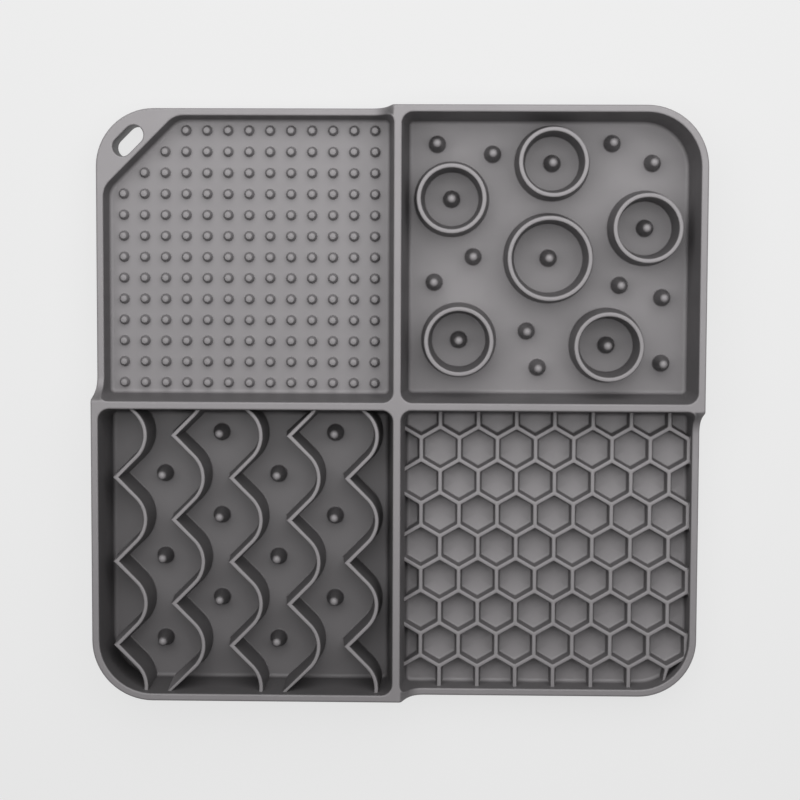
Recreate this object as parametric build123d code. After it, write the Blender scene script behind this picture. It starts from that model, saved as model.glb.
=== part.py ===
"""Moulded lick mat with four wells: studs, rings, waves and honeycomb.

Millimetres, +Z up. The origin is on the table under the middle of the mat. +X is to the right and
+Y to the back, so the hanging tab fills the corner at -X, +Y. Every wall leans outwards from the
well that it holds, and the pattern of a well is trimmed by the walls round it.
"""
from build123d import *
from collections import namedtuple
import math
import os

# Outline and walls
mat_width = 205.0            # X, over the tall rims
mat_depth = 200.0            # Y, over the tall rims
corner_radius = 20.5         # plan corners of the tall rim
tall_rim_height = 21.5       # rims of the deep wells, and the divider
low_rim_height = 13.0        # rims of the shallow wells
rim_thickness = 2.5          # outer wall at the tall rim
divider_thickness = 2.6      # divider at its top
wall_draft = 6.0             # degrees
rim_ramp_length = 8.0        # run of the sweep from a low rim up to the divider
ramp_bend_share = 0.3        # where the sweep bends, as a share of its run

# Floors
floor_thickness = 2.5
shallow_floor_lift = 2.5     # space under the two shallow floors
foot_bevel = 1.1             # slope between a floor and its walls
well_corner_radius = 1.8     # plan corners of a well next to the divider, at its floor
bevel_limit_share = 0.8      # most of a corner's radius that the slope may take
floor_seam = 1.4             # flat strip between the slope and the edge of the floor

# Hanging tab
tab_leg = 23.6               # cut along both sides of the well's outer corner, at its floor
tab_bend_radius = 6.5        # bends from the walls into the tab's face
slot_length = 12.0
slot_width = 6.5
slot_edge = 5.0              # from the slot to the outline of the corner

# Studs
stud_pitch = 7.1
stud_margin = 2.8            # least distance from a stud's middle to the edge of the floor
stud_diameter = 3.7
stud_height = 3.0
stud_crown = 0.8             # height of the domed top
stud_top_share = 0.8         # width under the dome, as a share of the foot
stud_sides = 5

# Rings and posts
ring_height = 15.5
ring_thickness = 1.8         # at the top
ring_draft = 2.5             # degrees
ring_sides = 30              # flat sides round a ring
large_ring_diameter = 28.7   # at the top
ring_gap = 4.4               # least distance between the large ring and a small one behind it
ring_wall_gap = 1.7          # least distance from a ring or post to the edge of the floor
post_diameter = 6.5          # at the foot
post_top_diameter = 3.2
post_height = 10.5
post_crown = 1.2             # height of the domed top
post_sides = 8

# Places round the large ring, as shares of the way to where a ring or post would near the walls
small_ring_shares = [(-0.99, 0.62), (0.03, 1.00), (0.98, 0.32), (-0.91, -0.87), (0.60, -0.92)]
loose_post_shares = [
    (-0.89, 0.93), (-0.45, 0.85), (0.50, 0.94), (0.82, 0.78), (-0.60, 0.01), (-0.91, -0.20),
    (0.57, -0.22), (0.91, -0.32), (-0.17, -0.60), (-0.08, -0.90), (0.91, -0.86),
]

# Wave ribs
rib_count = 5
rib_edge_gap = 2.0           # from the cusps of the outer ribs to the edge of the floor
rib_height = 16.0
rib_thickness = 2.0
wave_period = 28.5
wave_bulge_radius = 10.4
wave_run_angle = 45.0        # degrees between a straight run and the length of the rib
wave_phase_share = -0.13     # of a period, from the well's middle to the nearest cusp

# Honeycomb
comb_pitch = 12.9            # from cell to cell along a row
comb_height = 5.4
comb_rib_thickness = 1.6     # at the top
comb_draft = 3.0             # degrees
comb_shift_shares = (-0.306, 0.075)   # of the pitch and the row pitch, from the well's middle

overrun = 2.0                # by which a cutting shape passes what it cuts

# Values worked out from the sizes above
wall_slope = math.tan(math.radians(wall_draft))
deep_floor = floor_thickness
shallow_floor = shallow_floor_lift + floor_thickness
divider_half = divider_thickness / 2
base_strip = foot_bevel + floor_seam
ring_spread = ring_height * math.tan(math.radians(ring_draft))
run_angle = math.radians(wave_run_angle)
wave_swing = wave_period / 2 * math.tan(run_angle) - wave_bulge_radius * (1 / math.cos(run_angle) - 1)
rib_reach = wave_swing / 2 + rib_thickness / 2 / math.cos(run_angle)
comb_row_pitch = comb_pitch * math.sqrt(3) / 2

# A well has the signs of its quadrant, the height of its floor, and perhaps the tab in its corner
Well = namedtuple("Well", "x_sign y_sign floor has_tab")
stud_well = Well(-1, 1, shallow_floor, True)
ring_well = Well(1, 1, deep_floor, False)
wave_well = Well(-1, -1, deep_floor, False)
comb_well = Well(1, -1, shallow_floor, False)
all_wells = [stud_well, ring_well, wave_well, comb_well]


def to_quadrant(shape, well):
    """Mirror or turn a shape drawn at +X, +Y into the quadrant of a well."""
    if well.x_sign < 0 and well.y_sign < 0:
        return Rot(0, 0, 180) * shape
    if well.x_sign < 0:
        return mirror(shape, about=Plane.YZ)
    if well.y_sign < 0:
        return mirror(shape, about=Plane.XZ)
    return shape


def leaning_block(outline, base, height, lean):
    """A block on a level outline, with sides that lean outwards by so many degrees."""
    block = extrude(Pos(0, 0, base) * outline, height)
    sides = block.faces().filter_by(Axis.Z, reverse=True)
    return draft(sides, Plane.XY.offset(base), -lean)


def wall_lean(well):
    """How far the walls of a well lean out between its floor and the tall rim."""
    return (tall_rim_height - well.floor) * wall_slope


def well_limits(well, inset=0):
    """Edges of a well's floor, drawn at +X, +Y: near and far in X, near and far in Y."""
    near = divider_half + wall_lean(well) + inset
    far = rim_thickness + wall_lean(well) + inset
    return near, mat_width / 2 - far, near, mat_depth / 2 - far


def well_middle(well):
    """Middle of a well's floor, in its own quadrant."""
    x_near, x_far, y_near, y_far = well_limits(well)
    return well.x_sign * (x_near + x_far) / 2, well.y_sign * (y_near + y_far) / 2


def sharp_outline(well, inset=0):
    """Outline of a well's floor at +X, +Y: a round outer corner, or the straight face of the tab."""
    x_near, x_far, y_near, y_far = well_limits(well, inset)
    leg = tab_leg - inset * (2 - math.sqrt(2))
    outer_radius = corner_radius - rim_thickness - wall_lean(well) - inset
    outer = [(x_far, y_far)]
    if well.has_tab:
        outer = [(x_far, y_far - leg), (x_far - leg, y_far)]
        outer_radius = tab_bend_radius
    outline = make_face(Polyline((x_near, y_near), (x_far, y_near), *outer, (x_near, y_far), close=True))
    ordered = outline.vertices().sort_by(lambda vertex: vertex.X + vertex.Y)
    return fillet(ordered[-len(outer):], outer_radius)


def well_outline(well):
    """The same outline with its three corners next to the divider rounded."""
    outline = sharp_outline(well)
    x_near, x_far, y_near, y_far = well_limits(well)
    corners = [(x_near, y_near), (x_far, y_near), (x_near, y_far)]
    inner = [outline.vertices().sort_by_distance((x, y, 0))[0] for x, y in corners]
    return fillet(inner, well_corner_radius)


def well_room(well):
    """The room in a well, from its floor to above the tall rim, with the slope along its foot."""
    room = leaning_block(well_outline(well), well.floor, tall_rim_height - well.floor + overrun, wall_draft)
    foot = room.edges().group_by(Axis.Z)[0]
    return to_quadrant(chamfer(foot, min(foot_bevel, bevel_limit_share * well_corner_radius)), well)


def floor_slab(well):
    """The floor of a well, inside the strip that belongs to its walls."""
    outline = Pos(0, 0, well.floor - floor_thickness) * sharp_outline(well, base_strip)
    return to_quadrant(extrude(outline, floor_thickness), well)


def floor_passage(well):
    """The upright space that a floor takes out of the walls round it."""
    outline = Pos(0, 0, -overrun) * sharp_outline(well, base_strip)
    return to_quadrant(extrude(outline, well.floor + 2 * overrun), well)


def outer_block():
    """The whole mat as one block that leans outwards from the table to the tall rim."""
    lean = tall_rim_height * wall_slope
    foot = RectangleRounded(mat_width - 2 * lean, mat_depth - 2 * lean, corner_radius - lean)
    return leaning_block(foot, 0, tall_rim_height, wall_draft)


def ramp_profile(reach):
    """Side view of what is cut away above a low rim, from the divider outwards."""
    start = divider_half
    end = start + rim_ramp_length
    bend = start + ramp_bend_share * rim_ramp_length
    top = tall_rim_height + overrun
    sweep = Bezier((start, tall_rim_height), (bend, low_rim_height), (end, low_rim_height))
    rest = Polyline((end, low_rim_height), (reach, low_rim_height), (reach, top), (start, top),
                    (start, tall_rim_height))
    return make_face(Curve() + [sweep, rest])


def low_rim_cut(well):
    """What is cut from the two outer walls of a shallow well to lower their rims."""
    x_middle, y_middle = (abs(value) for value in well_middle(well))
    x_reach = mat_width / 2 + overrun
    y_reach = mat_depth / 2 + overrun
    back = extrude(Plane.XZ * ramp_profile(x_reach), -(y_reach - y_middle))
    side = extrude(Plane.YZ * ramp_profile(y_reach), x_reach - x_middle)
    return to_quadrant(Pos(0, y_middle, 0) * back + Pos(x_middle, 0, 0) * side, well)


def hanging_slot():
    """The oblong hole through the tab, square to the diagonal of the corner."""
    out = corner_radius - slot_edge - slot_width / 2
    step = out / math.sqrt(2)
    x = mat_width / 2 - corner_radius + step
    y = mat_depth / 2 - corner_radius + step
    hole = Pos(x, y, -overrun) * Rot(0, 0, -45) * SlotOverall(slot_length, slot_width)
    return to_quadrant(extrude(hole, tall_rim_height + 2 * overrun), stud_well)


def upright_block(x_min, x_max, y_min, y_max):
    """A block over the whole height of the mat, drawn at +X, +Y."""
    middle = Pos((x_min + x_max) / 2, (y_min + y_max) / 2, tall_rim_height / 2)
    return middle * Box(x_max - x_min, y_max - y_min, tall_rim_height + 2 * overrun)


def divider_zone():
    """The cross that takes in the divider and its foot, and ends just inside the outer walls."""
    x_near, x_far, y_near, y_far = well_limits(ring_well, base_strip)
    half = x_near + overrun
    across = upright_block(overrun - x_far, x_far - overrun, -half, half)
    along = upright_block(-half, half, overrun - y_far, y_far - overrun)
    return across + along


def quadrant_zone(well):
    """The quarter of the mat that holds a well."""
    return to_quadrant(upright_block(0, mat_width, 0, mat_depth), well)


def tab_limits():
    """Where the straight walls of the stud well end and the tab begins, in X and in Y."""
    x_near, x_far, y_near, y_far = well_limits(stud_well)
    reach = tab_leg + tab_bend_radius
    return x_far - reach, y_far - reach


def frame_parts():
    """Divider, walls and tab, cut apart from one frame."""
    frame = outer_block()
    for well in all_wells:
        frame -= well_room(well)
        frame -= floor_passage(well)
    frame -= low_rim_cut(stud_well)
    frame -= low_rim_cut(comb_well)
    frame -= hanging_slot()
    rim = frame - divider_zone()
    stud_rim = rim & quadrant_zone(stud_well)
    x_tab, y_tab = tab_limits()
    back_zone = to_quadrant(upright_block(0, x_tab, y_tab, mat_depth), stud_well)
    side_zone = to_quadrant(upright_block(x_tab, mat_width, 0, y_tab), stud_well)
    return {
        "cross_divider": frame & divider_zone(),
        "ring_wall": rim & quadrant_zone(ring_well),
        "wave_wall": rim & quadrant_zone(wave_well),
        "honeycomb_wall": rim & quadrant_zone(comb_well),
        "stud_wall_back": stud_rim & back_zone,
        "stud_wall_side": stud_rim & side_zone,
        "hanging_tab": stud_rim - back_zone - side_zone,
    }


def floor_parts():
    """The four floors."""
    return {
        "stud_floor": floor_slab(stud_well),
        "ring_floor": floor_slab(ring_well),
        "wave_floor": floor_slab(wave_well),
        "honeycomb_floor": floor_slab(comb_well),
    }


def crowned_peg(sides, foot_diameter, top_diameter, height, crown):
    """A tapered peg with flat sides and a low pointed crown, standing on the origin."""
    foot = peg_corners(sides, foot_diameter / 2, 0)
    shoulder = peg_corners(sides, top_diameter / 2, height - crown)
    faces = [Face(Wire.make_polygon(foot))]
    for index in range(sides):
        after = (index + 1) % sides
        side = [foot[index], foot[after], shoulder[after], shoulder[index]]
        slope = [shoulder[index], shoulder[after], (0, 0, height)]
        faces += [Face(Wire.make_polygon(side)), Face(Wire.make_polygon(slope))]
    return Solid(Shell(faces))


def peg_corners(sides, radius, height):
    """Corners of a level regular polygon."""
    angles = [2 * math.pi * index / sides for index in range(sides)]
    return [(radius * math.cos(angle), radius * math.sin(angle), height) for angle in angles]


def trimmed(shapes, well):
    """The solids of these shapes that lie in the room of a well."""
    room = well_room(well)
    kept = [shape & room for shape in shapes]
    return Compound([solid for piece in kept if piece for solid in piece.solids()])


def grid_line(near, far):
    """Evenly spaced places for studs, centred between two walls."""
    count = int((far - near - 2 * stud_margin) / stud_pitch) + 1
    first = (near + far - (count - 1) * stud_pitch) / 2
    return [first + stud_pitch * index for index in range(count)]


def stud_places():
    """Middles of the studs: a square grid that leaves out the corner of the tab."""
    x_near, x_far, y_near, y_far = well_limits(stud_well)
    clear_leg = tab_leg + stud_margin * math.sqrt(2)
    return [(stud_well.x_sign * x, stud_well.y_sign * y)
            for y in grid_line(y_near, y_far) for x in grid_line(x_near, x_far)
            if (x_far - x) + (y_far - y) > clear_leg]


def stud_parts():
    """The field of small studs."""
    top_diameter = stud_diameter * stud_top_share
    stud = crowned_peg(stud_sides, stud_diameter, top_diameter, stud_height, stud_crown)
    studs = [Pos(x, y, stud_well.floor) * stud for x, y in stud_places()]
    return {"lick_studs": trimmed(studs, stud_well)}


def ring(foot_radius):
    """A round fence with tapered sides on the floor of the ring well, round the Z axis."""
    inner_radius = foot_radius - ring_thickness - 2 * ring_spread
    fence = RegularPolygon(foot_radius, ring_sides)
    opening = RegularPolygon(inner_radius, ring_sides)
    fence = leaning_block(fence, ring_well.floor, ring_height, -ring_draft)
    return fence - leaning_block(opening, ring_well.floor, ring_height, ring_draft)


def ring_room(radius):
    """How far from the middle of the ring well a round piece may stand, in X and in Y."""
    x_near, x_far, y_near, y_far = well_limits(ring_well, ring_wall_gap + radius)
    return (x_far - x_near) / 2, (y_far - y_near) / 2


def ring_places(shares, radius):
    """Places in the ring well for round pieces of one radius."""
    x_middle, y_middle = well_middle(ring_well)
    x_room, y_room = ring_room(radius)
    return [(x_middle + x * x_room, y_middle + y * y_room) for x, y in shares]


def posts_at(places, well):
    """Tapered posts on the floor of a deep well."""
    post = crowned_peg(post_sides, post_diameter, post_top_diameter, post_height, post_crown)
    return trimmed([Pos(x, y, well.floor) * post for x, y in places], well)


def ring_parts():
    """The rings, the post in the middle of each, and the posts between them.

    A small ring is as wide as the room that the large one leaves between itself and the walls.
    """
    large_radius = large_ring_diameter / 2 + ring_spread
    small_radius = (min(ring_room(large_radius)) - ring_gap) / 2
    large_place = well_middle(ring_well)
    small_places = ring_places(small_ring_shares, small_radius)
    parts = {"large_ring": trimmed([Pos(*large_place) * ring(large_radius)], ring_well)}
    for number, place in enumerate(small_places, start=1):
        parts[f"small_ring_{number}"] = trimmed([Pos(*place) * ring(small_radius)], ring_well)
    parts["ring_posts"] = posts_at([large_place, *small_places], ring_well)
    parts["loose_posts"] = posts_at(ring_places(loose_post_shares, post_diameter / 2), ring_well)
    return parts


def wave_flank(half_width, side, first_cusp, period_count):
    """One flank of a wave rib: straight runs, round bulges to +X and sharp cusps to -X."""
    cusp_x = side * half_width / math.cos(run_angle) - wave_swing / 2
    centre_x = wave_swing / 2 - wave_bulge_radius
    radius = wave_bulge_radius + side * half_width
    bulge_x = centre_x + radius * math.cos(run_angle)
    half_bulge = radius * math.sin(run_angle)
    edges = []
    for index in range(period_count):
        cusp = first_cusp + index * wave_period
        middle = cusp + wave_period / 2
        bulge_start = (bulge_x, middle - half_bulge)
        bulge_end = (bulge_x, middle + half_bulge)
        edges.append(Line((cusp_x, cusp), bulge_start))
        edges.append(ThreePointArc(bulge_start, (centre_x + radius, middle), bulge_end))
        edges.append(Line(bulge_end, (cusp_x, cusp + wave_period)))
    return edges


def wave_face(width, first_cusp, period_count):
    """Plan of a wave rib."""
    right = wave_flank(width / 2, 1, first_cusp, period_count)
    left = wave_flank(width / 2, -1, first_cusp, period_count)
    start = Line(left[0] @ 0, right[0] @ 0)
    end = Line(left[-1] @ 1, right[-1] @ 1)
    return make_face(Curve() + [*right, *left, start, end])


def rib_pitch():
    """Distance between two ribs, with all of them spread evenly over the floor."""
    x_near, x_far, y_near, y_far = well_limits(wave_well, rib_edge_gap + rib_reach)
    return (x_far - x_near) / (rib_count - 1)


def cusp_shift(index):
    """Cusps of a rib, from the well's middle: every second rib is half a period further on."""
    return (wave_phase_share + (index % 2) / 2) * wave_period


def wave_rib(index):
    """One wave rib, longer than its well at both ends."""
    x_middle, y_middle = well_middle(wave_well)
    half_count = math.ceil(mat_depth / 4 / wave_period) + 1
    first_cusp = cusp_shift(index) - half_count * wave_period
    rib = extrude(wave_face(rib_thickness, first_cusp, 2 * half_count), rib_height)
    x = x_middle + (index - (rib_count - 1) / 2) * rib_pitch()
    return Pos(x, y_middle, wave_well.floor) * rib


def wave_post_places():
    """Places half way between two ribs, where they bow apart."""
    x_middle, y_middle = well_middle(wave_well)
    half_count = math.ceil(mat_depth / 4 / wave_period)
    x_near, x_far, y_near, y_far = well_limits(wave_well, foot_bevel + post_diameter / 2)
    places = []
    for index in range(rib_count - 1):
        x = x_middle + (index - (rib_count - 2) / 2) * rib_pitch()
        for step in range(-half_count, half_count + 1):
            y = y_middle + cusp_shift(index) + step * wave_period
            if y_near < wave_well.y_sign * y < y_far:
                places.append((x, y))
    return places


def wave_parts():
    """The wave ribs and the posts between them."""
    parts = {}
    for index in range(rib_count):
        parts[f"wave_rib_{index + 1}"] = trimmed([wave_rib(index)], wave_well)
    parts["wave_posts"] = posts_at(wave_post_places(), wave_well)
    return parts


def comb_places():
    """Middles of the cells, row by row, over more than the well."""
    x_middle, y_middle = well_middle(comb_well)
    reach = math.ceil(max(mat_width, mat_depth) / 4 / comb_row_pitch) + 1
    x_first = x_middle + comb_shift_shares[0] * comb_pitch
    y_first = y_middle + comb_shift_shares[1] * comb_row_pitch
    return [(x_first + (column + (row % 2) / 2) * comb_pitch, y_first + row * comb_row_pitch)
            for row in range(-reach, reach + 1) for column in range(-reach, reach + 1)]


def comb_parts():
    """A grid of six-sided cells that open wider towards the top."""
    x_near, x_far, y_near, y_far = well_limits(comb_well, -overrun)
    x_middle, y_middle = well_middle(comb_well)
    plate = Box(x_far - x_near, y_far - y_near, comb_height)
    plate = Pos(x_middle, y_middle, comb_well.floor + comb_height / 2) * plate
    spread = comb_height * math.tan(math.radians(comb_draft))
    foot_flat = (comb_pitch - comb_rib_thickness) / 2 - spread
    foot = RegularPolygon(foot_flat, 6, major_radius=False, rotation=30)
    cell = leaning_block(foot, comb_well.floor, comb_height, comb_draft)
    cells = [Pos(x, y) * cell for x, y in comb_places()]
    return {"honeycomb_grid": trimmed([plate - cells], comb_well)}


def write_parts():
    """Write each piece to its own file."""
    os.makedirs("parts", exist_ok=True)
    parts = {**frame_parts(), **floor_parts(), **stud_parts(), **ring_parts(), **wave_parts(), **comb_parts()}
    for name, shape in parts.items():
        export_step(shape, f"parts/{name}.step")
        print(name, len(shape.solids()), "solids", round(shape.volume), "mm3")


write_parts()
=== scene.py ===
# %% [markdown]
# # A lick mat with four wells
# The mat is one moulding of soft grey silicone: a cross divider, an outer wall, and four floors that
# carry studs, rings, waves and a honeycomb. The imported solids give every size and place. Each visible
# skin is worked out again here as a smooth surface, with the small roundings that a mould leaves.

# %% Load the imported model
import math
from collections import namedtuple

import bmesh
import bpy
import numpy as np
from mathutils import Matrix, Vector
from mathutils.geometry import tessellate_polygon


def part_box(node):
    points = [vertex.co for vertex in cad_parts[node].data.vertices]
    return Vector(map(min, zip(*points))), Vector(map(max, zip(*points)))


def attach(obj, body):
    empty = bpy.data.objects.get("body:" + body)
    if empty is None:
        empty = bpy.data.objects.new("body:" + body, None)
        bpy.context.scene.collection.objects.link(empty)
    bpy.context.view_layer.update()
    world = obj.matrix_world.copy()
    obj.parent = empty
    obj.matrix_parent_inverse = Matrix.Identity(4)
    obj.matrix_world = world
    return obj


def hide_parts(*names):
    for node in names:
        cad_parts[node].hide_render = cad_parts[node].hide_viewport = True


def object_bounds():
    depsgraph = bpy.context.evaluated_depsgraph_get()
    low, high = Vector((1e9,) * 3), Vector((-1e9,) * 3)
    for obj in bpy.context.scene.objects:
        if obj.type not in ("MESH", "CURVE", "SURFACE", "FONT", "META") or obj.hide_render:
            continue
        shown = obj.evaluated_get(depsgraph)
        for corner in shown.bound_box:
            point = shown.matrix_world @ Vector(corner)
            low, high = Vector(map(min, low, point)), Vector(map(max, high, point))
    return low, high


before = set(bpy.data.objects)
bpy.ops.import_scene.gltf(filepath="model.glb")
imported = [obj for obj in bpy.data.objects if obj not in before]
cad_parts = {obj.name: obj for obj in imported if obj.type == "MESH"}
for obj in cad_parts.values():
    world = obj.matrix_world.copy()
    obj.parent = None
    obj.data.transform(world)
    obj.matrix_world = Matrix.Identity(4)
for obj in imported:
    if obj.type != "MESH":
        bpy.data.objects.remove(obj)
cad_low, cad_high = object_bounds()
mm = 0.001
print("nodes:", len(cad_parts), "size in mm:", [round(side / mm, 1) for side in cad_high - cad_low])

# %% [markdown]
# ## The camera
# The photograph was taken from nearly straight above, from a point a little behind the middle and to
# the right of it. A long lens keeps the tall walls from spreading much. The turn is written as a lean,
# a side step and a small roll, so that each can be changed by itself.

# %% Place the camera
camera_target = Vector((0.75, 1.41, 10.0)) * mm
camera_distance = 690 * mm
camera_lean = math.radians(4.35)
camera_side_step = math.radians(1.38)
camera_roll = math.radians(0.33)
camera_lens, camera_sensor = 91.8, 36.0
camera_range = 0.01, 20.0

camera = bpy.data.objects.new("camera", bpy.data.cameras.new("camera"))
bpy.context.scene.collection.objects.link(camera)
camera.data.sensor_width = camera_sensor
camera.data.lens = camera_lens
camera.data.clip_start, camera.data.clip_end = camera_range
camera_turn = (Matrix.Rotation(-camera_lean, 4, "X") @ Matrix.Rotation(camera_side_step, 4, "Y")
               @ Matrix.Rotation(camera_roll, 4, "Z"))
camera_back = camera_turn @ Vector((0, 0, 1))
camera.matrix_world = Matrix.Translation(camera_target + camera_back * camera_distance) @ camera_turn
bpy.context.scene.camera = camera
bpy.context.scene.view_settings.view_transform = "Standard"
print("camera stands at", [round(value, 3) for value in camera.matrix_world.translation])

# %% [markdown]
# ## From arrays to a piece
# Every surface below is a grid of points with four-sided faces between neighbouring rows and columns.
# One helper numbers those faces, and another joins several grids into one mesh, merges the points
# where two grids meet, turns the faces outwards and ties the piece to the frame. A sheet that is open
# below is closed with a flat base. Edges sharper than the crease angle stay crisp and all others are
# shaded smooth.

# %% Helpers for grids and pieces
seam_distance = 0.002 * mm
crease_angle = math.radians(40)
pieces = []


def grid_faces(rows, columns, closed_rows=False, closed_columns=False):
    """Number the quads of a grid: each joins two neighbouring rows at two neighbouring columns."""
    row = np.arange(rows if closed_rows else rows - 1)[:, None]
    column = np.arange(columns if closed_columns else columns - 1)[None, :]
    next_row, next_column = (row + 1) % rows, (column + 1) % columns
    corners = [row * columns + column, row * columns + next_column,
               next_row * columns + next_column, next_row * columns + column]
    return np.stack(np.broadcast_arrays(*corners), axis=-1).reshape(-1, 4)


def grid_surface(points, closed_rows=False, closed_columns=False):
    """A grid of points (rows, columns, 3) as a surface: its points in one list, and its faces."""
    rows, columns = points.shape[:2]
    return points.reshape(-1, 3), [grid_faces(rows, columns, closed_rows, closed_columns)]


def copied_faces(faces, copies, points):
    """Number the faces of many copies of one shape, each with so many points."""
    return (faces[None] + points * np.arange(copies)[:, None, None]).reshape(-1, faces.shape[1])


def joined(mesh, surfaces):
    """Join surfaces in a mesh and merge the points where they meet.

    Merging can shrink a face to a line, so edges without a face are taken away.
    """
    starts = np.cumsum([0] + [len(points) for points, _ in surfaces])
    points = np.concatenate([points for points, _ in surfaces])
    faces = [face for start, (_, blocks) in zip(starts, surfaces) for block in blocks
             for face in (block + start).tolist()]
    mesh.from_pydata(points.tolist(), [], faces)
    shell = bmesh.new()
    shell.from_mesh(mesh)
    bmesh.ops.remove_doubles(shell, verts=shell.verts, dist=seam_distance)
    bmesh.ops.delete(shell, geom=[edge for edge in shell.edges if edge.is_wire], context="EDGES")
    return shell


def closed_below(surface, base):
    """Close an open sheet: walls from its border straight down to a base, and a flat fan that fills it."""
    mesh = bpy.data.meshes.new("open_sheet")
    shell = joined(mesh, [surface])
    border = np.array([[corner.co for corner in edge.verts] for edge in shell.edges if edge.is_boundary])
    shell.free()
    bpy.data.meshes.remove(mesh)
    low = border * (1, 1, 0) + (0, 0, base)
    walls = np.concatenate([border, low[:, ::-1]], axis=1)
    fan = np.concatenate([low, np.broadcast_to(low.mean(axis=(0, 1)), (len(low), 1, 3))], axis=1)
    return [surface] + [(block.reshape(-1, 3), [np.arange(block.size // 3).reshape(block.shape[:2])])
                        for block in (walls, fan)]


def add_piece(name, surfaces, nodes):
    """Join surfaces into one closed piece that rides on the root body in place of CAD nodes."""
    mesh = bpy.data.meshes.new(name)
    shell = joined(mesh, surfaces)
    bmesh.ops.recalc_face_normals(shell, faces=shell.faces)
    open_edges = sum(not edge.is_manifold for edge in shell.edges)
    shell.to_mesh(mesh)
    shell.free()
    mesh.shade_smooth()
    mesh.set_sharp_from_angle(angle=crease_angle)
    piece = bpy.data.objects.new(name, mesh)
    bpy.context.scene.collection.objects.link(piece)
    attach(piece, "root")
    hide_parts(*nodes)
    pieces.append(piece)
    print(name, "faces:", len(mesh.polygons), "open edges:", open_edges)


# %% [markdown]
# ## The walls in section
# All walls lean outwards from the well that they hold, by the draft of the mould. A section through a
# wall is a short list of offsets and heights: a cove at the foot, a straight face, and a rounded edge
# at the rim. Where a round of radius r joins a level face and a face that leans by the draft, it
# touches both at r times (1 - sin draft) / cos draft from the corner, or (1 + sin draft) / cos draft
# where the faces make a sharp corner.

# %% Sizes of the walls
tall_rim = cad_high.z
low_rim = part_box("hanging_tab")[1].z
half_width, half_depth = cad_high.x, cad_high.y
corner_radius = 20.5 * mm
rim_thickness = 2.5 * mm
divider_half = 1.3 * mm
wall_draft = math.radians(6)
well_corner_radius = 1.8 * mm
cove_radius = 1.4 * mm
rim_round = 0.6 * mm
foot_round = 0.6 * mm
flat_strip = 0.12 * mm
round_steps = 4

wall_slope = math.tan(wall_draft)
blunt_reach = (1 - math.sin(wall_draft)) / math.cos(wall_draft)
sharp_reach = (1 + math.sin(wall_draft)) / math.cos(wall_draft)


def round_section(centre_offset, centre_height, radius, start, end):
    """Offsets and heights on a round: its centre plus the radius turned from one angle to another."""
    angle = np.linspace(start, end, round_steps + 1)
    return centre_offset + radius * np.cos(angle), centre_height + radius * np.sin(angle)


def inner_section(floor, rim):
    """Offsets and heights from a floor up to a rim, one row for each rim height in an array."""
    rim = np.asarray(rim)[:, None]
    top = wall_slope * (rim - floor)
    cove = round_section(-blunt_reach * cove_radius, floor + cove_radius, cove_radius,
                         -math.pi / 2, -wall_draft)
    edge = round_section(top + blunt_reach * rim_round, rim - rim_round, rim_round,
                         math.pi - wall_draft, math.pi / 2)
    cove = [np.broadcast_to(values, edge[0].shape) for values in cove]
    start = np.full_like(rim, -blunt_reach * cove_radius - flat_strip)
    end = top + blunt_reach * rim_round + flat_strip
    return (np.hstack([start, cove[0], edge[0], end]),
            np.hstack([np.full_like(rim, floor), cove[1], edge[1], rim]))


def outer_section(rim):
    """Offsets and heights from a rim down the outside to the table, one row for each rim height."""
    rim = np.asarray(rim)[:, None]
    top = -wall_slope * (tall_rim - rim)
    foot = -wall_slope * tall_rim - blunt_reach * foot_round
    edge = round_section(top - sharp_reach * rim_round, rim - rim_round, rim_round,
                         math.pi / 2, -wall_draft)
    base = round_section(foot, foot_round, foot_round, -wall_draft, -math.pi / 2)
    base = [np.broadcast_to(values, edge[0].shape) for values in base]
    start = top - sharp_reach * rim_round - flat_strip
    end = np.full_like(rim, foot - flat_strip)
    return (np.hstack([start, edge[0], base[0], end]),
            np.hstack([rim, edge[1], base[1], np.zeros_like(rim)]))


print("tall and low rim in mm:", round(tall_rim / mm, 2), round(low_rim / mm, 2))

# %% [markdown]
# ## The sweep of the low rims
# The outer walls of the two shallow wells are low, and sweep up to the ends of the divider in a
# hollow curve. A cubic curve with level ends gives that sweep. Its height is read back at any
# distance from the divider, so the same rule serves the well's edge, the rim and the outer skin.

# %% Height of a low rim along its wall
sweep_length = 8.0 * mm
sweep_start_pull = 1.2 * mm
sweep_end_pull = 6.4 * mm
sweep_samples = 200


def sweep_height(distance):
    """Height of a low rim at a distance from the divider's middle: a cubic curve, read by distance."""
    t = np.linspace(0, 1, sweep_samples)
    start, end = divider_half, divider_half + sweep_length
    weights = np.stack([(1 - t) ** 3, 3 * t * (1 - t) ** 2, 3 * t ** 2 * (1 - t), t ** 3], axis=1)
    reach = weights @ np.array([start, start + sweep_start_pull, end - sweep_end_pull, end])
    height = weights @ np.array([tall_rim, tall_rim, low_rim, low_rim])
    return np.interp(distance, reach, height)


def tall_height(distance):
    """Height of a tall rim: the same everywhere."""
    return np.full(np.shape(distance), tall_rim)


print("sweep at 2, 5 and 10 mm:", np.round(sweep_height(np.array([2, 5, 10]) * mm) / mm, 1))

# %% [markdown]
# ## The outline of a well
# A well is drawn in the quarter at +X, +Y and mirrored to its own place. Its floor has an edge made of
# straight runs and arcs. Each station on that edge has a point and a direction that looks out of the
# well, so a wall is the point plus an offset along the direction. Each station also has a crest: the
# point in the middle of the rim where this well meets its neighbour or the outer skin. Stations of
# neighbouring wells share their crests, and that closes the seams.

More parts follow.
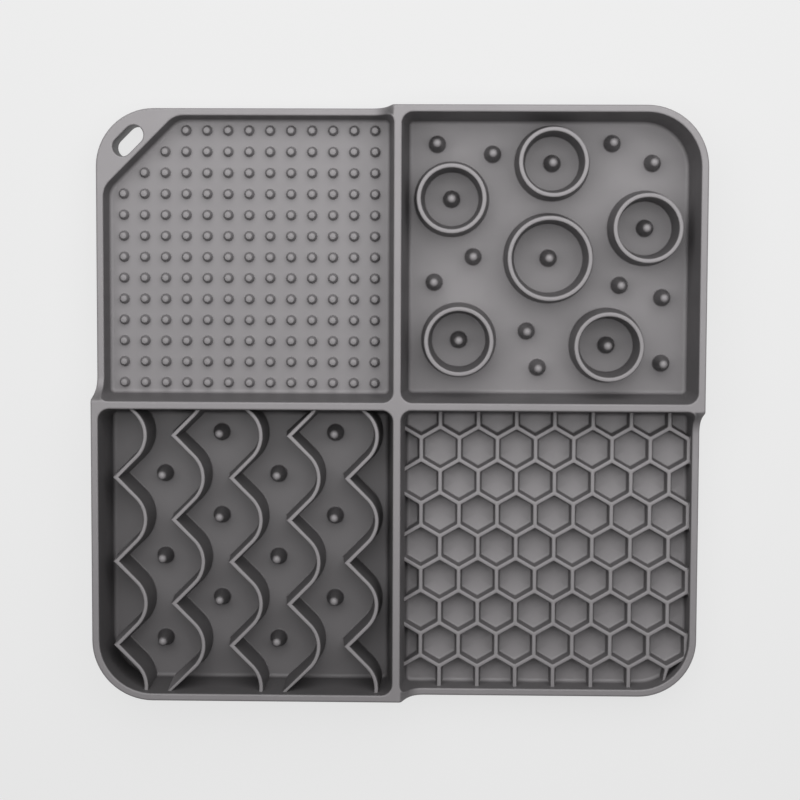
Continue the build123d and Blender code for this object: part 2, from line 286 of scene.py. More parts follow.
# %% Stations round a well
Well = namedtuple("Well", "x_sign y_sign floor height has_tab")
deep_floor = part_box("ring_floor")[1].z
shallow_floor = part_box("stud_floor")[1].z
shallow_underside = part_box("stud_floor")[0].z
stud_well = Well(-1, 1, shallow_floor, sweep_height, True)
ring_well = Well(1, 1, deep_floor, tall_height, False)
wave_well = Well(-1, -1, deep_floor, tall_height, False)
comb_well = Well(1, -1, shallow_floor, sweep_height, False)

tab_leg = 23.6 * mm
tab_bend_radius = 6.5 * mm
corner_span = 4.6 * mm
corner_steps = 8
corner_gather = 1.4
straight_start = 5.4 * mm
sweep_stations, far_stations = 12, 8
bend_steps = 16
height_rounds = 20

Stations = namedtuple("Stations", "point outward along")
corner_crest = corner_span * (np.arange(corner_steps + 1) / corner_steps) ** corner_gather
crest_x, crest_y = half_width - rim_thickness / 2, half_depth - rim_thickness / 2


def straight_places(end):
    """Places along a straight wall: close together over the sweep, and further apart up to the end."""
    sweep_end = divider_half + sweep_length
    near = np.linspace(straight_start, sweep_end, sweep_stations, endpoint=False)
    return np.concatenate([near, np.linspace(sweep_end, end, far_stations)])


arms_x, arms_y = straight_places(crest_x - straight_start), straight_places(crest_y - straight_start)


def arc_stations(centre, radius, start, end, steps, along):
    """Stations on an arc: the centre plus the radius turned from one angle to another, in degrees."""
    angle = np.radians(np.linspace(start, end, steps + 1))
    outward = np.stack([np.cos(angle), np.sin(angle)], axis=1)
    return Stations(np.array(centre) + radius * outward, outward, np.tile(along, (steps + 1, 1)))


def line_stations(points, outward, along):
    """Stations on a straight run, which all look the same way."""
    points = np.asarray(points, float)
    return Stations(points, np.tile(outward, (len(points), 1)), np.tile(along, (len(points), 1)))


def chained(parts):
    """Stations of several runs, one after the other."""
    return Stations(*[np.concatenate(values).astype(float) for values in zip(*parts)])


def well_edges(well):
    """Where a well's floor ends: next to the divider, at its far side in X and at its far side in Y."""
    lean = wall_slope * (tall_rim - well.floor)
    return divider_half + lean, half_width - rim_thickness - lean, half_depth - rim_thickness - lean


def tab_start(well):
    """Where the straight walls next to the tab end, in X and in Y."""
    _, far_x, far_y = well_edges(well)
    reach = tab_leg + tab_bend_radius * math.tan(math.pi / 8)
    return far_x - reach, far_y - reach


def outer_ends(well):
    """Where the straight outer walls end and the corner begins, in X and in Y."""
    return tab_start(well) if well.has_tab else (half_width - corner_radius, half_depth - corner_radius)


def corner_stations(well):
    """The outer corner of a well: one arc, or the two bends at the ends of the tab's straight face."""
    _, far_x, far_y = well_edges(well)
    end_x, end_y = outer_ends(well)
    if well.has_tab:
        return chained([
            arc_stations((far_x - tab_bend_radius, end_y), tab_bend_radius, 0, 45, corner_steps, (0, 1)),
            arc_stations((end_x, far_y - tab_bend_radius), tab_bend_radius, 45, 90, corner_steps, (1, 0))])
    return arc_stations((end_x, end_y), far_x - end_x, 0, 90, bend_steps, (1, 0))


def well_stations(well):
    """All stations of a well, anticlockwise from its corner at the middle of the mat."""
    near, far_x, far_y = well_edges(well)
    radius = well_corner_radius
    low, high_x, high_y = near + radius, far_x - radius, far_y - radius
    end_x, end_y = outer_ends(well)
    side_y, back_x = straight_places(end_y)[:-1], straight_places(end_x)[-2::-1]
    level, side, back = (0, 0), (0, 1), (1, 0)
    first_half = arc_stations((low, low), radius, 225, 270, corner_steps, level)
    last_half = arc_stations((low, low), radius, 180, 225, corner_steps, level)
    return chained([
        first_half,
        line_stations(np.stack([arms_x, np.full_like(arms_x, near)], axis=1), (0, -1), level),
        arc_stations((high_x, low), radius, 270, 360, 2 * corner_steps, side),
        line_stations(np.stack([np.full_like(side_y, far_x), side_y], axis=1), (1, 0), side),
        corner_stations(well),
        line_stations(np.stack([back_x, np.full_like(back_x, far_y)], axis=1), (0, 1), back),
        arc_stations((low, high_y), radius, 90, 180, 2 * corner_steps, back),
        line_stations(np.stack([np.full_like(arms_y, near), arms_y[::-1]], axis=1), (-1, 0), level),
        Stations(*[values[:-1] for values in last_half])])


def outer_stations(well):
    """Stations on the tall outline of the mat round a well, from the divider at +X to that at +Y."""
    end_x, end_y = outer_ends(well)
    side_y = np.concatenate([corner_crest, straight_places(end_y)[:-1]])
    back_x = np.concatenate([corner_crest, straight_places(end_x)[:-1]])[::-1]
    centre = half_width - corner_radius, half_depth - corner_radius
    return chained([
        line_stations(np.stack([np.full_like(side_y, half_width), side_y], axis=1), (1, 0), (0, 1)),
        arc_stations(centre, corner_radius, 0, 90, bend_steps, (1, 0)),
        line_stations(np.stack([back_x, np.full_like(back_x, half_depth)], axis=1), (0, 1), (1, 0))])


def rim_heights(well, stations, offset_of):
    """Height of the rim at each station. The wall leans, so its top is found by repeated correction."""
    start = np.sum(stations.point * stations.along, axis=1)
    drift = np.sum(stations.outward * stations.along, axis=1)
    height = np.full(len(start), tall_rim)
    for _ in range(height_rounds):
        height = well.height(start + offset_of(height) * drift)
    return height


def section_points(stations, offsets, heights):
    """Carry sections round the stations: each point plus its offset along the outward direction.

    A single row of offsets and heights is one section for all stations.
    """
    shape = len(stations.point), np.shape(offsets)[-1]
    offsets, heights = np.broadcast_to(offsets, shape), np.broadcast_to(heights, shape)
    plan = stations.point[:, None, :] + offsets[:, :, None] * stations.outward[:, None, :]
    return np.concatenate([plan, heights[:, :, None]], axis=2)


for well in (stud_well, ring_well, wave_well, comb_well):
    print("well edges in mm:", np.round(np.array(well_edges(well)) / mm, 2),
          "stations:", len(well_stations(well).point))

# %% [markdown]
# ## One quarter of the mat
# A quarter is a bowl, a strip of rim up to the crest, the outer skin and the underside. The floor of
# the bowl and the underside are flat, so each is one flat face, or a plate with holes in it. A plate
# with holes is cut into triangles between its loops of points, without any new points. The shallow
# floors stand above the table, so their underside is a recess.

# %% Surfaces of a quarter
recess_inset = 1.6 * mm
recess_bevel = 0.3 * mm
strip_steps = 12
millimetres = 1 / mm


def inner_offset(well):
    """Rule for how far out a rim's level top begins: the lean of the wall at a height, and its round."""
    return lambda height: wall_slope * (height - well.floor) + blunt_reach * rim_round + flat_strip


def outer_offset(height):
    """How far the outer skin stands inside the tall outline at a height."""
    return -wall_slope * (tall_rim - height)


def level_face(points):
    """One flat face through a loop of points."""
    return points, [np.arange(len(points))[None, :]]


def holed_plate(outline, holes):
    """Triangles of a flat plate between an outline and the loops of its holes."""
    loops = [outline, *holes]
    drawn = [[Vector((x, y, 0)) for x, y in (loop[:, :2] * millimetres).tolist()] for loop in loops]
    return np.concatenate(loops), [np.array(tessellate_polygon(drawn))]


def on_divider(x, y):
    """Crest points on the divider, level with the tall rim."""
    x, y = np.broadcast_arrays(np.asarray(x, float), np.asarray(y, float))
    return np.stack([x, y, np.full(x.shape, tall_rim)], axis=1)


def outer_crest(well):
    """Crest points along the outer rim of a well: half the rim's thickness inside the outer skin."""
    stations = outer_stations(well)
    height = rim_heights(well, stations, outer_offset)
    offset = outer_offset(height) - rim_thickness / 2
    return section_points(stations, offset[:, None], height[:, None])[:, 0]


def well_crest(outer):
    """Crest points of all stations of a well: along the divider, the outer rim and the divider again."""
    to_side = np.concatenate([corner_crest, arms_x, crest_x - corner_crest[:0:-1]])
    from_back = np.concatenate([crest_y - corner_crest[1:], arms_y[::-1], corner_crest[:0:-1]])
    return np.concatenate([on_divider(to_side, 0), outer, on_divider(0, from_back)])


def rim_strip(well, stations, edge, crest):
    """Top of the rim from a well's edge to its crest: straight in plan, at the rim's height all the way.

    The height is that of the rule for the rim, plus what the two ends differ from it, shared out.
    """
    share = np.linspace(0, 1, strip_steps + 1)[None, :, None]
    ends = np.stack([edge, crest], axis=1)
    level = well.height(np.sum(ends[:, :, :2] * stations.along[:, None, :], axis=2))
    apart = ends[:, :, 2] - level
    points = ends[:, :1] * (1 - share) + ends[:, 1:] * share
    level = well.height(np.sum(points[:, :, :2] * stations.along[:, None, :], axis=2))
    points[:, :, 2] = level + apart[:, :1] * (1 - share[:, :, 0]) + apart[:, 1:] * share[:, :, 0]
    return points


def recess(well, stations):
    """The hollow under a shallow floor: a small bevel, upright sides and a flat top."""
    offsets = np.array([recess_bevel - recess_inset, -recess_inset, -recess_inset])
    points = section_points(stations, offsets, np.array([0, recess_bevel, shallow_underside]))
    return points[:, 0], [grid_surface(points, closed_rows=True), level_face(points[:, -1])]


def quarter(well, tab_corner=None):
    """All surfaces of one quarter, drawn at +X, +Y and mirrored to the well's own place."""
    stations, outside = well_stations(well), outer_stations(well)
    edge_height = rim_heights(well, stations, inner_offset(well))
    bowl = section_points(stations, *inner_section(well.floor, edge_height))
    skin = section_points(outside, *outer_section(rim_heights(well, outside, outer_offset)))
    crest = outer_crest(well)
    surfaces = [grid_surface(bowl, closed_rows=True), level_face(bowl[:, 0]), grid_surface(skin)]
    holes = []
    if well.floor > deep_floor:
        hole, hollow = recess(well, stations)
        holes.append(hole)
        surfaces += hollow
    if tab_corner:
        surfaces += tab_corner(well, bowl[:, -1], skin[:, 0], crest, holes)
    else:
        rim = rim_strip(well, stations, bowl[:, -1], well_crest(crest))
        surfaces += [grid_surface(rim, closed_rows=True), grid_surface(np.stack([crest, skin[:, 0]], axis=1))]
    base = np.vstack([skin[:, -1], np.zeros((1, 3))])
    surfaces.append(holed_plate(base, holes) if holes else level_face(base))
    mirror = np.array([well.x_sign, well.y_sign, 1])
    return [(points * mirror, faces) for points, faces in surfaces]


print("a plain quarter has", len(quarter(ring_well)), "surfaces, a raised one", len(quarter(comb_well)))

# %% [markdown]
# ## The hanging tab
# One corner is filled by a flat tab with an oblong slot for a hook. The rim strips stop at both ends
# of the tab, and a plate closes the space between the well's edge, the outer skin and the slot. The
# wall of the slot is a rounded section carried round a racetrack loop.

# %% Tab and slot
slot_length = 12.0 * mm
slot_width = 6.5 * mm
slot_edge = 5.0 * mm
slot_round = 0.5 * mm
slot_steps = 12


def slot_loop():
    """A racetrack: two half circles, at the ends of a line square to the corner's diagonal."""
    out = corner_radius - slot_edge - slot_width / 2
    diagonal = np.array([1, 1]) / math.sqrt(2)
    across = np.array([1, -1]) / math.sqrt(2)
    middle = np.array([half_width - corner_radius, half_depth - corner_radius]) + out * diagonal
    reach = (slot_length - slot_width) / 2 * across
    ends = [arc_stations(middle + reach, slot_width / 2, -135, 45, slot_steps, (0, 0)),
            arc_stations(middle - reach, slot_width / 2, 45, 225, slot_steps, (0, 0))]
    return chained(ends)


def slot_wall():
    """The slot's wall: a round at the tab's face, a straight drop and a round at the table."""
    angle = np.linspace(0, math.pi / 2, round_steps + 1)
    offset, drop = slot_round * (1 - np.sin(angle)), slot_round * (1 - np.cos(angle))
    edge = slot_round + flat_strip
    offsets = np.concatenate([[edge], offset, offset[::-1], [edge]])
    heights = np.concatenate([[low_rim], low_rim - drop, drop[::-1], [0]])
    return section_points(slot_loop(), offsets, heights)


def tab_corner(well, well_edge, skin_edge, crest, holes):
    """Rim strips up to the tab, the tab's plate, and the wall of its slot."""
    side_count = len(straight_places(outer_ends(well)[1])) - 1
    before = (corner_steps + 1) + len(arms_x) + (2 * corner_steps + 1) + side_count
    after = before + len(corner_stations(well).point)
    outer_before = len(corner_crest) + side_count
    outer_after = outer_before + bend_steps + 1
    open_crest = well_crest(np.delete(crest, np.s_[outer_before:outer_after], axis=0))
    stations = Stations(*[np.delete(values, np.s_[before:after], axis=0) for values in well_stations(well)])
    rim = rim_strip(well, stations, np.delete(well_edge, np.s_[before:after], axis=0), open_crest)
    outer_strip = np.stack([crest, skin_edge], axis=1)
    strips = [np.roll(rim, -before, axis=0), outer_strip[:outer_before], outer_strip[outer_after:]]
    wall = slot_wall()
    holes.append(wall[:, -1])
    outline = np.vstack([well_edge[before:after], rim[before],
                         skin_edge[outer_before - 1:outer_after + 1][::-1], rim[before - 1, ::-1]])
    return [*map(grid_surface, strips), grid_surface(wall, closed_rows=True),
            holed_plate(outline, [wall[:, 0]])]


body_nodes = ["cross_divider", "ring_wall", "wave_wall", "honeycomb_wall", "stud_wall_back",
              "stud_wall_side", "hanging_tab", "stud_floor", "ring_floor", "wave_floor", "honeycomb_floor"]
quarters = [quarter(stud_well, tab_corner), quarter(ring_well), quarter(wave_well), quarter(comb_well)]
add_piece("mat_body", sum(quarters, []), body_nodes)

# %% [markdown]
# ## Studs and posts
# Studs and posts are turned shapes: a section of radius and height carried round an upright axis. Their
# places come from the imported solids, where each stud or post ends in one highest point. A small hollow
# round at the foot lets the shape grow out of the floor, and a domed top catches the light.

# %% Turned pegs
peg_sink = 0.05 * mm
place_digits = 6
stud_sides, post_sides = 12, 28


def point_values(mesh, name):
    """Places or normals of all points of a mesh, as rows of X, Y and Z."""
    values = np.empty(3 * len(mesh.vertices), np.float32)
    mesh.vertices.foreach_get(name, values)
    return values.reshape(-1, 3)


def tips(node):
    """Places of the pegs of a CAD node in plan: its highest points, each taken once."""
    points = point_values(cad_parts[node].data, "co").astype(float)
    highest = points[:, 2] > points[:, 2].max() - peg_sink
    return np.unique(np.round(points[highest, :2], place_digits), axis=0)


def peg_section(foot_radius, top_radius, height, hollow, crown, steps):
    """Radius and height of a peg: a hollow quarter round, a straight taper and a quarter ellipse on top."""
    angle = np.linspace(0, math.pi / 2, steps + 1)
    radius = np.concatenate([foot_radius + hollow * (1 - np.sin(angle)), top_radius * np.cos(angle)])
    level = np.concatenate([hollow * (1 - np.cos(angle)), height - crown + crown * np.sin(angle)])
    return radius, level - peg_sink


def turned(section, places, floor, sides):
    """Turn a section round axes at some places: the place plus the radius along each direction."""
    radius, level = section
    angle = 2 * math.pi * np.arange(sides) / sides
    direction = np.stack([np.cos(angle), np.sin(angle)], axis=1)
    plan = places[:, None, None, :] + radius[:, None] * direction[None, :, None, :]
    height = np.broadcast_to(floor + level[:, None], plan.shape[:3] + (1,))
    points = np.concatenate([plan, height], axis=3)
    sheet = grid_faces(sides, len(radius), closed_rows=True)
    base = len(radius) * np.arange(sides)[None]
    count = sides * len(radius)
    return points.reshape(-1, 3), [copied_faces(faces, len(places), count) for faces in (sheet, base)]


stud_shape = peg_section(foot_radius=1.65 * mm, top_radius=1.45 * mm, height=3.0 * mm,
                         hollow=0.4 * mm, crown=1.1 * mm, steps=2)
post_shape = peg_section(foot_radius=2.65 * mm, top_radius=1.6 * mm, height=10.5 * mm,
                         hollow=0.75 * mm, crown=1.5 * mm, steps=5)
add_piece("stud_field", [turned(stud_shape, tips("lick_studs"), shallow_floor, stud_sides)], ["lick_studs"])
for node in ("ring_posts", "loose_posts", "wave_posts"):
    add_piece(f"{node}_moulded", [turned(post_shape, tips(node), deep_floor, post_sides)], [node])
    print(node, "stand at", len(tips(node)), "places")

# %% [markdown]
# ## Fences: one section for rings and ribs
# The rings and the wave ribs are thin upright fences with the same kind of section: a hollow round at
# each foot, sides that draw in towards the top, and a rounded top edge, which shows as a light line in
# the photograph. The section is closed along its underside, so that a fence is a closed shape.

# %% Section of a fence
fence_round = 0.55 * mm
fence_hollow = 0.7 * mm
fence_steps = 4


def fence_section(top_half, foot_half, height):
    """Offset and height round a fence: up one side by its hollow and its edge, and down the other."""
    angle = np.linspace(0, math.pi / 2, fence_steps + 1)
    offset = np.concatenate([foot_half + fence_hollow * (1 - np.sin(angle)),
                             top_half - fence_round * (1 - np.cos(angle))])
    level = np.concatenate([fence_hollow * (1 - np.cos(angle)),
                            height - fence_round * (1 - np.sin(angle))])
    return np.concatenate([offset, -offset[::-1]]), np.concatenate([level, level[::-1]]) - peg_sink


print("points round a fence:", 4 * (fence_steps + 1))

# %% [markdown]
# ## Rings
# A ring is the fence's section turned about the middle of its CAD node. The node's box gives that
# middle, the radius at the foot and the height.

# %% Turn the rings
ring_top_thickness = 1.6 * mm
ring_foot_thickness = 3.15 * mm
ring_sides = 96
small_rings = 5
ring_nodes = ["large_ring"] + [f"small_ring_{index + 1}" for index in range(small_rings)]

for node in ring_nodes:
    low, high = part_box(node)
    middle = (low + high) / 2
    offset, level = fence_section(ring_top_thickness / 2, ring_foot_thickness / 2, high.z - low.z)
    radius = (high.x - low.x) / 2 - ring_foot_thickness / 2 + offset
    angle = 2 * math.pi * np.arange(ring_sides)[:, None] / ring_sides
    ring = np.stack([middle.x + radius * np.cos(angle), middle.y + radius * np.sin(angle),
                     np.broadcast_to(low.z + level, (ring_sides, len(level)))], axis=2)
    add_piece(f"{node}_moulded", [grid_surface(ring, closed_rows=True, closed_columns=True)], [node])

# %% [markdown]
# ## Wave ribs
# Seen from above, a rib swings from side to side: straight runs, round bulges to the right and sharp
# cusps to the left. Its place across the well is a function of the distance along it, so a rib is the
# fence's section carried along that line. A straight run needs no stations, only its two ends. At a
# cusp the section stretches by the mitre, which keeps both flanks straight. A run that nearly reaches a
# wall carries on straight into it, with no cusp. The box of a solid rib holds the swing, half a
# thickness beside the bulges and half a mitred thickness beside the cusps, and so gives its middle line.

# %% Carry the fence along the waves
rib_count = 5
wave_period = 28.5 * mm
wave_bulge_radius = 10.4 * mm
wave_phase_share = -0.13
rib_top_thickness = 1.45 * mm
rib_foot_thickness = 2.7 * mm
rib_tuck = 0.4 * mm
rib_end_run = 3 * mm
bulge_steps = 18
bulge_half = wave_bulge_radius * math.sin(math.pi / 4)
wave_swing = wave_period / 2 - wave_bulge_radius * (math.sqrt(2) - 1)


def wave_line(along, bulge):
    """Swing of a rib and its side vector, at distances along it.

    On a bulge the swing is a circle, and beyond it falls off at 45 degrees to the cusp. The side
    vector is square to the line, and points straight across at a cusp, longer by the mitre. Each
    station belongs to its nearest bulge, and those at the ends to the bulge of the run that ends there.
    """
    settled = np.clip(along, along[0] + rib_end_run, along[-1] - rib_end_run)
    beyond = along - bulge - wave_period * np.round((settled - bulge) / wave_period)
    reach = np.abs(beyond)
    on_bulge = np.minimum(reach, bulge_half)
    depth = np.sqrt(wave_bulge_radius ** 2 - on_bulge ** 2)
    swing = wave_swing / 2 - wave_bulge_radius + depth - np.maximum(reach - bulge_half, 0)
    slope = on_bulge / depth * np.sign(beyond)
    at_cusp = np.isclose(reach, wave_period / 2, atol=peg_sink)
    length = np.sqrt(1 + slope ** 2)
    across = np.where(at_cusp, math.sqrt(2), 1 / length)
    return swing, across, np.where(at_cusp, 0, slope / length)


def rib_stations(low_end, high_end, bulge):
    """Distances along a rib: the arcs of its bulges, its cusps well before the ends, and its two ends."""
    count = math.ceil((high_end - low_end) / wave_period) + 1
    periods = bulge + wave_period * np.arange(-count, count + 1)
    arcs = periods[:, None] + np.linspace(-bulge_half, bulge_half, bulge_steps + 1)
    cusps = periods + wave_period / 2
    cusps = cusps[(cusps > low_end + rib_end_run) & (cusps < high_end - rib_end_run)]
    arcs = arcs[(arcs > low_end) & (arcs < high_end)]
    return np.unique(np.concatenate([[low_end, high_end], arcs, cusps]))


wave_low, wave_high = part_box("wave_floor")
wave_middle = (wave_low.y + wave_high.y) / 2
near_edge, _, far_edge = well_edges(wave_well)
for index in range(rib_count):
    node = f"wave_rib_{index + 1}"
    low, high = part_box(node)
    rib_height = high.z - low.z
    end_tuck = wall_slope * rib_height + rib_tuck
    bulge = wave_middle + (wave_phase_share + (index % 2) / 2 + 1 / 2) * wave_period
    along = rib_stations(-far_edge - end_tuck, -near_edge + end_tuck, bulge)
    swing, across, forward = [values[:, None] for values in wave_line(along, bulge)]
    offset, level = fence_section(rib_top_thickness / 2, rib_foot_thickness / 2, rib_height)
    solid_thickness = 2 * (high.x - low.x - wave_swing) / (1 + math.sqrt(2))
    middle_line = high.x - (wave_swing + solid_thickness) / 2
    tuck = wall_slope * level + rib_tuck
    rib = np.stack([middle_line + swing + offset * across,
                    np.clip(along[:, None] + offset * forward, -far_edge - tuck, -near_edge + tuck),
                    np.broadcast_to(low.z + level, (len(along), len(level)))], axis=2)
    ends = [level_face(rib[0]), level_face(rib[-1])]
    add_piece(f"{node}_moulded", [grid_surface(rib, closed_columns=True), *ends], [node])

# %% [markdown]
# ## The honeycomb
# A honeycomb is a field of six-sided cells. One cell is a set of hexagon loops: the middle of the rib's
# top, its rounded edge, the side of the cell, a hollow at the foot, and a last loop that has shrunk to
# the middle of the cell's floor. A loop is six rounded corners, so its points come from a distance to
# the sides and a corner radius. Cells that reach past the walls are drawn in to just inside the wall's
# skin, and faces that lie wholly past it are left out. The border of that sheet is then closed with a
# flat base, which is sunk in the floor.

# %% Cells of the honeycomb
comb_pitch = 12.9 * mm
comb_shift_shares = (-0.306, 0.075)
comb_rib_half = 0.72 * mm
comb_spread = 0.28 * mm
comb_round = 0.45 * mm
comb_hollow = 0.7 * mm
comb_corner_radius = 0.7 * mm
comb_lift = 0.03 * mm
comb_tuck = 0.5 * mm
comb_steps = 3
comb_corner_points = 4
comb_reach = 6


def cell_section(height):
    """Distance to the sides, height and corner radius of a cell's loops, from its rib to its middle."""
    angle = np.linspace(0, math.pi / 2, comb_steps + 1)
    opening = comb_pitch / 2 - comb_rib_half
    edge = opening + comb_round * (1 - np.sin(angle))
    foot = opening - comb_spread - comb_hollow * (1 - np.cos(angle))
    distance = np.concatenate([[comb_pitch / 2], edge, foot, [0]])
    level = np.concatenate([[height], height - comb_round * (1 - np.cos(angle)),
                            comb_hollow * (1 - np.sin(angle)), [0]])
    corner = np.full_like(distance, comb_corner_radius)
    corner[[0, -1]] = 0
    return distance, level, corner


def cell_loops(distance, corner):
    """Plan of a cell's loops: corner centres on six directions, plus the corner radius turned round."""
    way = np.radians(30 + 60 * np.arange(6))[None, :, None]
    turn = np.radians(np.linspace(-30, 30, comb_corner_points))[None, None, :]
    centre = (distance - corner)[:, None, None] / math.cos(math.pi / 6)
    corner = corner[:, None, None]
    x = centre * np.cos(way) + corner * np.cos(way + turn)
    y = centre * np.sin(way) + corner * np.sin(way + turn)
    return np.stack([x, y], axis=3).reshape(len(distance), -1, 2)


def drawn_in(points, well):
    """Move points that lie past a well's leaning walls back to just inside the skin of the wall.

    The well is a rectangle with rounded corners. A point past it moves back along the shortest way.
    """
    near, far_x, far_y = well_edges(well)
    offset = wall_slope * (points[..., 2] - well.floor) + comb_tuck
    plan = points[..., :2] * (well.x_sign, well.y_sign)
    low = near - offset[..., None]
    high = np.array([far_x, far_y]) + offset[..., None]
    outer = np.all(plan > (half_width - corner_radius, half_depth - corner_radius), axis=-1)
    radius = np.where(outer, corner_radius - rim_thickness - wall_slope * (tall_rim - well.floor),
                      well_corner_radius)[..., None] + offset[..., None]
    core = np.clip(plan, low + radius, high - radius)
    away = plan - core
    length = np.linalg.norm(away, axis=-1, keepdims=True)
    past = length > radius
    plan = np.where(past, core + away * radius / np.maximum(length, radius), plan)
    return np.concatenate([plan * (well.x_sign, well.y_sign), points[..., 2:]], axis=-1), past[..., 0]


comb_low, comb_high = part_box("honeycomb_floor")
row_pitch = comb_pitch * math.sqrt(3) / 2
row, column = np.mgrid[-comb_reach:comb_reach + 1, -comb_reach:comb_reach + 1]
cell_x = (comb_low.x + comb_high.x) / 2 + (comb_shift_shares[0] + column + (row % 2) / 2) * comb_pitch
cell_y = (comb_low.y + comb_high.y) / 2 + (comb_shift_shares[1] + row) * row_pitch
cells = np.stack([cell_x.ravel(), cell_y.ravel()], axis=1)

grid_low, grid_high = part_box("honeycomb_grid")
distance, level, corner = cell_section(grid_high.z - grid_low.z)
loops = cell_loops(distance, corner).transpose(1, 0, 2)
plan = cells[:, None, None, :] + loops
height = np.broadcast_to(shallow_floor + comb_lift + level[:, None], plan.shape[:3] + (1,))
comb, past = drawn_in(np.concatenate([plan, height], axis=3), comb_well)
rows, columns = loops.shape[:2]
faces = copied_faces(grid_faces(rows, columns, closed_rows=True), len(cells), rows * columns)
faces = faces[~np.all(past.ravel()[faces], axis=1)]
used, faces = np.unique(faces, return_inverse=True)
sheet = comb.reshape(-1, 3)[used], [faces.reshape(-1, 4)]
add_piece("honeycomb_moulded", closed_below(sheet, shallow_floor - comb_tuck), ["honeycomb_grid"])

# %% [markdown]
# ## Silicone
# Moulded silicone is matt, with a faint cloudiness and a fine grain that breaks up the light. A slow
# noise drifts between two close greys, a second one moves the roughness, and a very fine one makes the
# grain as a bump. All three read Object coordinates, so the pattern runs through every piece. In the
# photograph raised edges are paler than the lamp below makes them, so the colour paints them paler:
# painted light. Steep sides in the wells are painted darker, though less so on the short studs, and so
# is the wave well between its tall ribs: painted shade. An attribute on each mesh carries that painted
# shading, as a factor on the colour. It is worked out from the place, height and slope of each point,
# and from whether the point is on the outer skin.

# %% Painted shading on the silicone
raised_start, raised_end = 5.5 * mm, 9.5 * mm
steep_turn, level_turn = 0.2, 0.95
skin_depth = 8 * mm
skin_reach = half_depth - skin_depth
# Factors on the colour: painted shade on steep sides, on stud sides and on the outer skin, and painted light
# on level faces that stand high.
steep_painted_shade, stud_painted_shade, skin_painted_shade, raised_painted_light = 0.45, 0.72, 0.9, 1.16
# Share of the colour left in the wave well between its tall ribs: painted shade.
wave_painted_shade = 0.72


def paint_shading(mesh, side_painted_shade):
    """Painted shading of each point, a factor on the colour: low on steep sides (painted shade), 1 on floors,
    and above 1 on level faces that stand high (painted light).

    A steep point is on the outer skin where its place, measured along its normal, is far from the middle.
    In the quarter of the wave well, all but the level faces that stand high keep only a share of it, as
    painted shade.
    """
    points, normals = point_values(mesh, "co"), point_values(mesh, "normal")
    reach = np.sum(points[:, :2] * normals[:, :2], axis=1)
    # Painted shade: steep points get a factor below 1, a little below on the outer skin and well below in the
    # wells.
    steep = np.where(reach > skin_reach, skin_painted_shade, side_painted_shade)
    raised = np.clip((points[:, 2] - raised_start) / (raised_end - raised_start), 0, 1)
    level = np.clip((normals[:, 2] - steep_turn) / (level_turn - steep_turn), 0, 1)
    # Painted light on level faces that stand high, fading to painted shade on steep sides.
    painted_shading = steep + (1 + (raised_painted_light - 1) * raised - steep) * level
    # Painted shade: the wave well's quarter is painted darker, all but the level faces that stand high.
    in_wave_painted_shade = (reach <= skin_reach) & np.all(points[:, :2] < 0, axis=1)
    painted_shading *= np.where(in_wave_painted_shade, wave_painted_shade + (1 - wave_painted_shade) * raised * level, 1)
    # The painted light and shade go on the mesh as an attribute.
    mesh.attributes.new("painted_shading", "FLOAT", "POINT").data.foreach_set("value", painted_shading.astype(np.float32))
    return painted_shading


for piece in pieces:
    # Painted shade on the studs' sides is lighter than elsewhere.
    painted_shading = paint_shading(piece.data, stud_painted_shade if piece.name == "stud_field" else steep_painted_shade)
    print(piece.name, "tone from", round(float(painted_shading.min()), 2), "to", round(float(painted_shading.max()), 2))

# %% Finish of the silicone
silicone_dark = (0.169, 0.160, 0.165, 1)
silicone_light = (0.192, 0.183, 0.188, 1)
least_rough, most_rough = 0.48, 0.58
grain_strength, grain_depth = 0.12, 0.1 * mm
cloud_noise, rough_noise, grain_noise = (60, 4), (220, 3), (2600, 2)


def noise(nodes, links, coordinates, scale, detail):
    """A noise pattern read at Object coordinates, with so many features to a metre, and finer detail."""
    texture = nodes.new("ShaderNodeTexNoise")
    texture.inputs["Scale"].default_value = scale
    texture.inputs["Detail"].default_value = detail
    links.new(coordinates, texture.inputs["Vector"])
    return texture.outputs["Fac"]


def silicone_finish():
    """Matt grey silicone: cloudy colour times the painted light and shade, uneven roughness and a fine grain.
    """
    material = bpy.data.materials.new("grey_silicone")
    material.use_nodes = True
    nodes, links = material.node_tree.nodes, material.node_tree.links
    shader = nodes["Principled BSDF"]
    coordinates = nodes.new("ShaderNodeTexCoord").outputs["Object"]
    cloud = nodes.new("ShaderNodeMix")
    cloud.data_type = "RGBA"
    cloud.inputs["A"].default_value, cloud.inputs["B"].default_value = silicone_dark, silicone_light
    links.new(noise(nodes, links, coordinates, *cloud_noise), cloud.inputs["Factor"])
    # The attribute holds painted light and painted shade, multiplied into the colour below.
    painted_shading = nodes.new("ShaderNodeAttribute")
    painted_shading.attribute_name = "painted_shading"
    painted_colour = nodes.new("ShaderNodeVectorMath")
    painted_colour.operation = "SCALE"
    links.new(cloud.outputs["Result"], painted_colour.inputs[0])
    links.new(painted_shading.outputs["Fac"], painted_colour.inputs["Scale"])
    links.new(painted_colour.outputs["Vector"], shader.inputs["Base Color"])
    rough = nodes.new("ShaderNodeMapRange")
    rough.inputs["To Min"].default_value, rough.inputs["To Max"].default_value = least_rough, most_rough
    links.new(noise(nodes, links, coordinates, *rough_noise), rough.inputs["Value"])
    links.new(rough.outputs["Result"], shader.inputs["Roughness"])
    grain = nodes.new("ShaderNodeBump")
    grain.inputs["Strength"].default_value = grain_strength
    grain.inputs["Distance"].default_value = grain_depth
    links.new(noise(nodes, links, coordinates, *grain_noise), grain.inputs["Height"])
    links.new(grain.outputs["Normal"], shader.inputs["Normal"])
    return material


silicone = silicone_finish()
for piece in pieces:
    piece.data.materials.append(silicone)
print("pieces in silicone:", len(pieces))

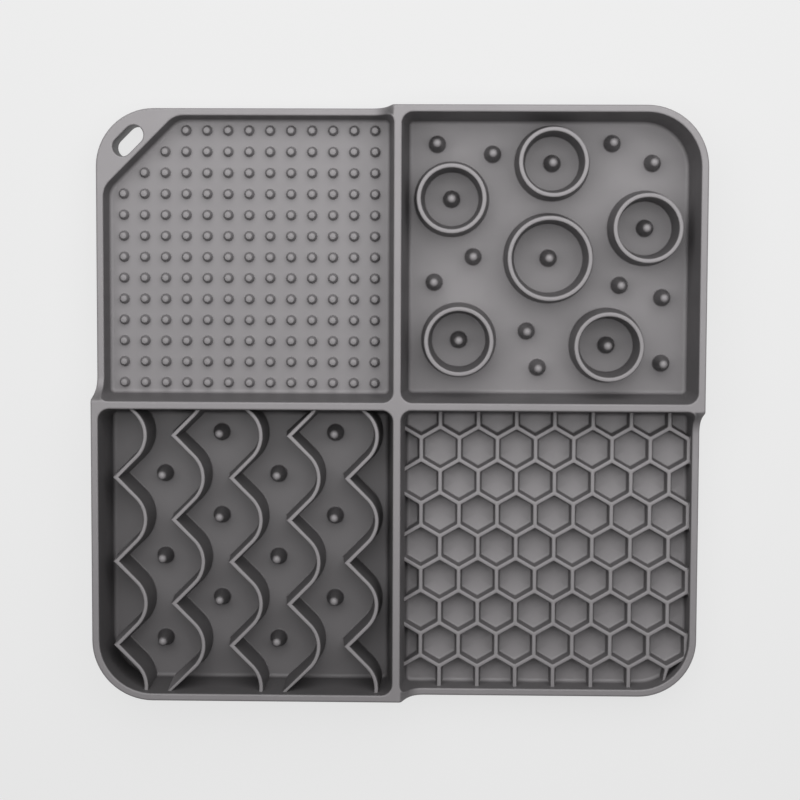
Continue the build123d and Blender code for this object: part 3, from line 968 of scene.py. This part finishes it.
# %% [markdown]
# ## Table and light
# The photograph has an even pale ground. A wide floor gives that ground to the camera as its own
# colour, with a small share of real light so that the mat's soft shadow stays. One wide soft lamp hangs
# low over the back, so that the front and the floors between close ribs are darker. The camera may
# look through it from behind, because a lamp shows only its front. The world adds a weak even light.

# %% Floor, lamp and world
ground_level = 0.815
shadow_share = 0.10
floor_half = 3.0
lamp_place = Vector((0.03, 0.32, 0.36))
lamp_side = 0.70
lamp_power = 4.45
world_light = 0.10


def add_camera_switch(nodes, links):
    """A value that is 1 for rays that show the ground: from the camera, or by a reflection or glass."""
    path = nodes.new("ShaderNodeLightPath")
    value = path.outputs["Is Camera Ray"]
    for name in ("Is Glossy Ray", "Is Transmission Ray"):
        larger = nodes.new("ShaderNodeMath")
        larger.operation = "MAXIMUM"
        links.new(value, larger.inputs[0])
        links.new(path.outputs[name], larger.inputs[1])
        value = larger.outputs[0]
    return value


def ground_finish():
    """Pale ground: its own colour for the camera, and a small share of lit surface for the shadow."""
    material = bpy.data.materials.new("pale_ground")
    material.use_nodes = True
    nodes, links = material.node_tree.nodes, material.node_tree.links
    nodes.clear()
    lit = nodes.new("ShaderNodeBsdfDiffuse")
    lit.inputs["Color"].default_value = (ground_level,) * 3 + (1,)
    own = nodes.new("ShaderNodeEmission")
    own.inputs["Color"].default_value = (ground_level,) * 3 + (1,)
    share = nodes.new("ShaderNodeMath")
    share.operation = "MULTIPLY"
    share.inputs[1].default_value = 1 - shadow_share
    links.new(add_camera_switch(nodes, links), share.inputs[0])
    blend = nodes.new("ShaderNodeMixShader")
    links.new(share.outputs[0], blend.inputs["Fac"])
    links.new(lit.outputs[0], blend.inputs[1])
    links.new(own.outputs[0], blend.inputs[2])
    output = nodes.new("ShaderNodeOutputMaterial")
    links.new(blend.outputs[0], output.inputs["Surface"])
    return material


corners = floor_half * np.array([(-1, -1, 0), (1, -1, 0), (1, 1, 0), (-1, 1, 0)])
floor_mesh = bpy.data.meshes.new("table")
floor_mesh.from_pydata(corners.tolist(), [], [(0, 1, 2, 3)])
floor_mesh.materials.append(ground_finish())
table = bpy.data.objects.new("table", floor_mesh)
bpy.context.scene.collection.objects.link(table)

lamp = bpy.data.objects.new("soft_lamp", bpy.data.lights.new("soft_lamp", "AREA"))
lamp.data.energy = lamp_power
lamp.data.shape = "SQUARE"
lamp.data.size = lamp_side
lamp.location = lamp_place
bpy.context.scene.collection.objects.link(lamp)

world = bpy.data.worlds.new("studio")
world.use_nodes = True
bpy.context.scene.world = world
world_nodes, world_links = world.node_tree.nodes, world.node_tree.links
background = world_nodes["Background"]
background.inputs["Color"].default_value = (1, 1, 1, 1)
level_switch = world_nodes.new("ShaderNodeMapRange")
level_switch.inputs["To Min"].default_value = world_light
level_switch.inputs["To Max"].default_value = ground_level
world_links.new(add_camera_switch(world_nodes, world_links), level_switch.inputs["Value"])
world_links.new(level_switch.outputs["Result"], background.inputs["Strength"])
print("lamp at", tuple(lamp.location), "power", lamp_power)
